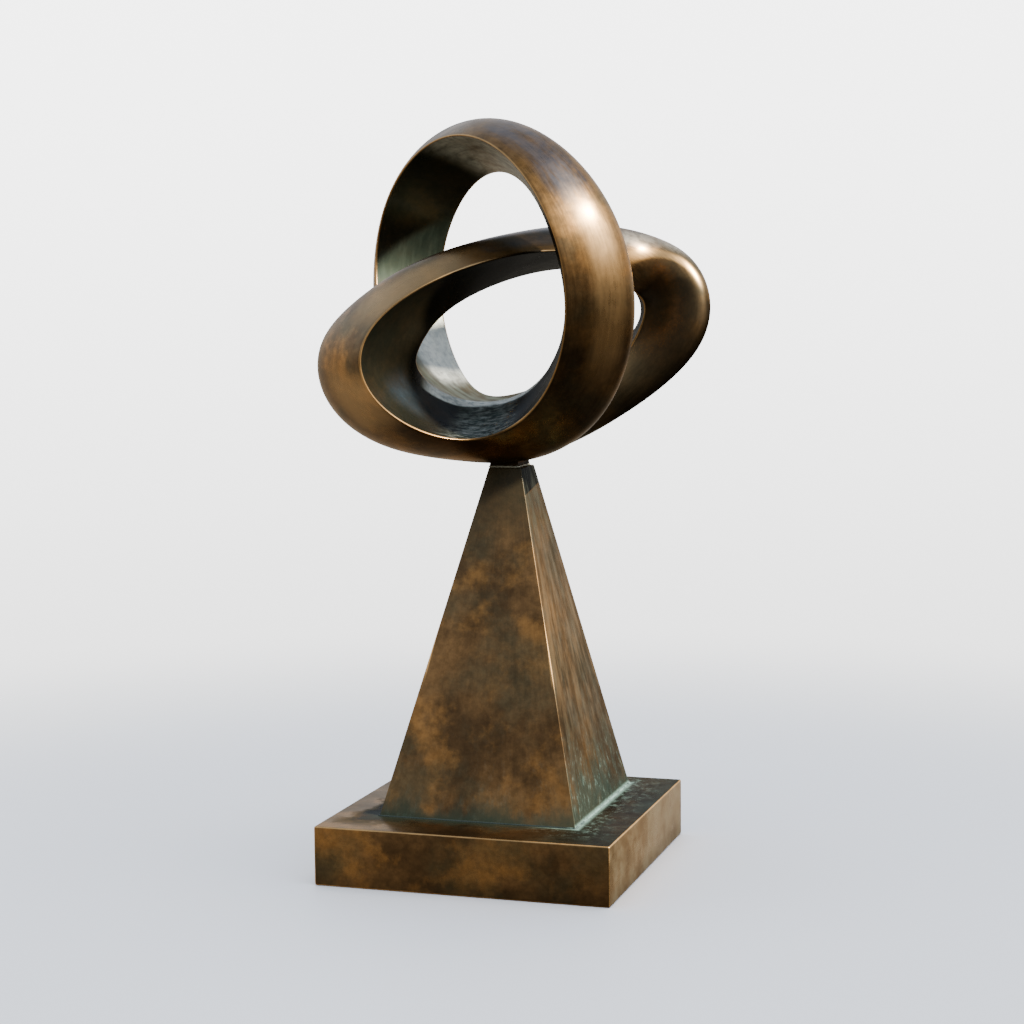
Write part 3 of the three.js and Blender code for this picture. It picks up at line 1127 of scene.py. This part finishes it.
def mixed(w, share, first, second):
    node = w.node("ShaderNodeMixShader")
    for socket, value in zip(node.inputs, (share, first.outputs[0], second.outputs[0])):
        w.put(socket, value)
    return node.outputs[0]


def floor():
    sheet = bmesh.new()
    bmesh.ops.create_circle(sheet, cap_ends=True, segments=128, radius=FLOOR_RADIUS)
    mesh = new_mesh(sheet, "floor")
    material, w, points = new_material("pale floor")
    out = w.ramp(w.vector("LENGTH", points), *FLOOR_FADE)
    shader = w.node("ShaderNodeBsdfPrincipled", Base_Color=(0.8, 0.8, 0.8, 1), Roughness=0.5)
    clear = w.node("ShaderNodeBsdfTransparent")
    w.node("ShaderNodeOutputMaterial", Surface=mixed(w, out, shader, clear))
    mesh.materials.append(material)
    piece = link(mesh, "floor")
    piece.location.z = -FLOOR_DROP
    piece.visible_glossy = False
    piece.visible_diffuse = False
    piece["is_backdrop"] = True
    return piece


def studio():
    """A pale backdrop for the eye. The metal mirrors another room: brighter behind and at both
    sides than in front, warm low down, cool overhead, and glowing round the strong lamp."""
    world = bpy.data.worlds.new("studio")
    bpy.context.scene.world = world
    world.use_nodes = True
    world.node_tree.nodes.clear()
    w = Wiring(world.node_tree)
    direction = w.node("ShaderNodeTexCoord").outputs["Generated"]

    def towards(aim):
        return w.vector("DOT_PRODUCT", direction, tuple(aim))

    z = w.split(direction)[2]
    behind, leftward = towards(away), towards(-right)
    sky = w.minus(w.ramp(z, 0.0, 0.4, 0.36, 0.66), w.ramp(z, 0.45, 0.9, 0.0, 0.2))
    sky = w.times(
        sky,
        w.ramp(behind, -0.3, 1.0, 1.0, 1.8),
        w.ramp(leftward, 0.2, 1.0, 1.0, 1.65),
        w.ramp(leftward, -0.2, -0.95, 1.0, 2.0),
    )
    above = w.ramp(z, -0.14, 0.04)
    ground = w.plus(
        w.ramp(leftward, 0.05, 0.8, 0.07, 0.6), w.ramp(behind, 0.45, 0.95, 0.0, 0.5)
    )
    room = w.plus(
        w.times(sky, above), w.times(w.rest(above), ground), w.ramp(towards(KEY), 0.7, 1.0)
    )
    tint = w.mix(w.ramp(z, -0.1, 0.65), (1.0, 0.94, 0.84, 1), (0.74, 0.92, 1.25, 1))
    backdrop = w.ramp(z, -0.42, 0.2, 1.35, 5.2)
    seen = w.node("ShaderNodeBackground", Color=(1, 1, 1, 1), Strength=backdrop)
    felt = w.node("ShaderNodeBackground", Color=tint, Strength=room)
    by_eye = w.node("ShaderNodeLightPath").outputs["Is Camera Ray"]
    w.node("ShaderNodeOutputWorld", Surface=mixed(w, by_eye, felt, seen))


def lamp(name, direction, distance, size, power, tint, lit):
    """A round soft lamp that looks at the band's heart, and lights only these pieces."""
    light = bpy.data.lights.new(name, "AREA")
    light.shape = "DISK"
    light.size = size
    light.energy = power
    light.color = tint
    piece = link(light, name)
    piece.location = BAND_HEART + direction.normalized() * distance
    piece.rotation_euler = direction.to_track_quat("Z", "Y").to_euler()
    group = bpy.data.collections.new(name + " lights")
    for receiver in lit:
        group.objects.link(receiver)
    piece.light_linking.receiver_collection = group


def camera():
    forward = away * math.cos(CAMERA_PITCH) - Vector((0, 0, math.sin(CAMERA_PITCH)))
    up = right.cross(forward)
    level = right * math.cos(CAMERA_ROLL) + up * math.sin(CAMERA_ROLL)
    above = up * math.cos(CAMERA_ROLL) - right * math.sin(CAMERA_ROLL)
    data = bpy.data.cameras.new("camera")
    data.lens = LENS
    data.sensor_width = SENSOR
    piece = link(data, "camera")
    turn = Matrix((level, above, -forward)).transposed().to_4x4()
    stand = plinth_middle.xy.to_3d() + CAMERA_STAND
    piece.matrix_world = Matrix.Translation(stand) @ turn
    bpy.context.scene.camera = piece


ground = floor()
studio()
lamp("key", KEY, distance=6.0, size=0.5, power=1500, tint=(1.0, 0.97, 0.92), lit=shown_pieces())
lamp("floor lamp", OVERHEAD, distance=5.0, size=6.0, power=620, tint=(1, 0.99, 0.98), lit=[ground])
camera()
